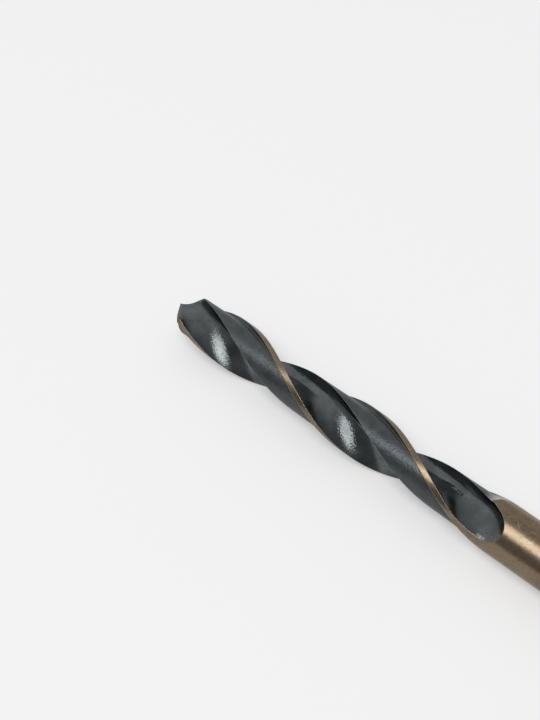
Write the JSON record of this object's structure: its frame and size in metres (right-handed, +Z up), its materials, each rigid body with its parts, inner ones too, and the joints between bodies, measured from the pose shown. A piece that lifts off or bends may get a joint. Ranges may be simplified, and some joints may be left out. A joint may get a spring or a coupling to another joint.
{
  "type": "twist drill bit",
  "caption": "Two-flute twist drill bit with raised margins, a conical ground point, flutes that rise out to the surface, and a plain parallel shank with a chamfered end",
  "frame": {"origin": "centre of the flat end face of the shank, on the drill's axis", "axes": "the drill lies along X with its shank's end towards +X and its point towards -X; +Z is up as it lies"},
  "size_m": [0.151, 0.013, 0.013],
  "materials": {
    "steel": "black oxide in the flutes and on the cleared lands, ground to a bronze-gold temper colour on the margins and the shank"
  },
  "bodies": {
    "root": {"twist_drill": "steel"}
  },
  "joints": []
}
